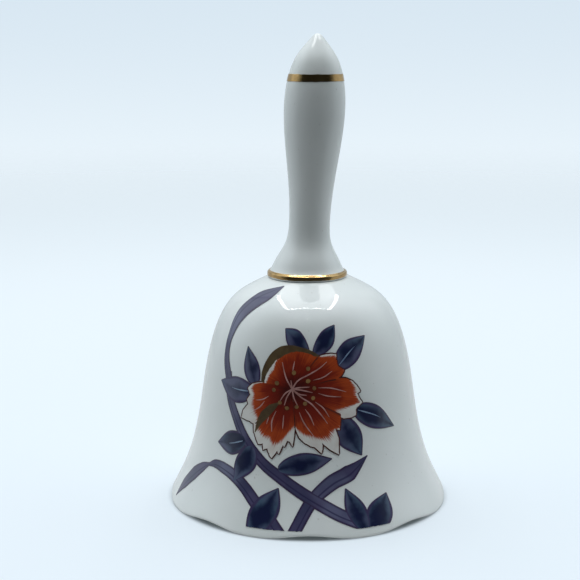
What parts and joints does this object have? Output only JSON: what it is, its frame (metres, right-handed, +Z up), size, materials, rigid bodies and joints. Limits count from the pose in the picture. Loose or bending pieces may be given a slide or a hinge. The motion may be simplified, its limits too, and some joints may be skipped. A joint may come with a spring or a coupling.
{
  "type": "hand bell",
  "caption": "Small porcelain hand bell with a scalloped lip, a slender hollow handle, gilt bands and a clapper hung on a short chain.",
  "frame": {"origin": "on the shell's axis, in the plane that the lip's feet rest on", "axes": "+Z up along the shell's axis, +X to the right as the bell is shown, the way its handle leans, and -Y to the front"},
  "size_m": [0.0756, 0.0756, 0.1271],
  "materials": {
    "glazed_porcelain": "clear high-gloss glaze over white porcelain",
    "gilding": "hand-painted fired bright gold",
    "plaster": "matt, rough",
    "brass_wire": "drawn wire, slightly dulled"
  },
  "bodies": {
    "bell": {"bell_shell": "glazed_porcelain", "handle": "glazed_porcelain", "handle_gilt_band": "gilding", "collar_gilt_band": "gilding", "crown_plug": "plaster", "clapper_hanger": "brass_wire"},
    "link_1": {"chain_link_1": "brass_wire"},
    "link_2": {"chain_link_2": "brass_wire"},
    "link_3": {"chain_link_3": "brass_wire"},
    "clapper": {"clapper_pin": "brass_wire", "clapper_bead": "glazed_porcelain"}
  },
  "joints": [
    {"name": "link_1_swing", "type": "hinge", "parent": "bell", "child": "link_1", "pos_m": [0, 0, 0.0534], "axis": [1, 0, 0], "range_deg": [-16, 16]},
    {"name": "link_2_swing", "type": "hinge", "parent": "link_1", "child": "link_2", "pos_m": [0, 0, 0.0484], "axis": [0, 1, 0], "range_deg": [-16, 16]},
    {"name": "link_3_swing", "type": "hinge", "parent": "link_2", "child": "link_3", "pos_m": [0, 0, 0.0434], "axis": [1, 0, 0], "range_deg": [-14, 14]},
    {"name": "clapper_swing", "type": "hinge", "parent": "link_3", "child": "clapper", "pos_m": [0, 0, 0.0384], "axis": [0, 1, 0], "range_deg": [-22, 22]}
  ]
}
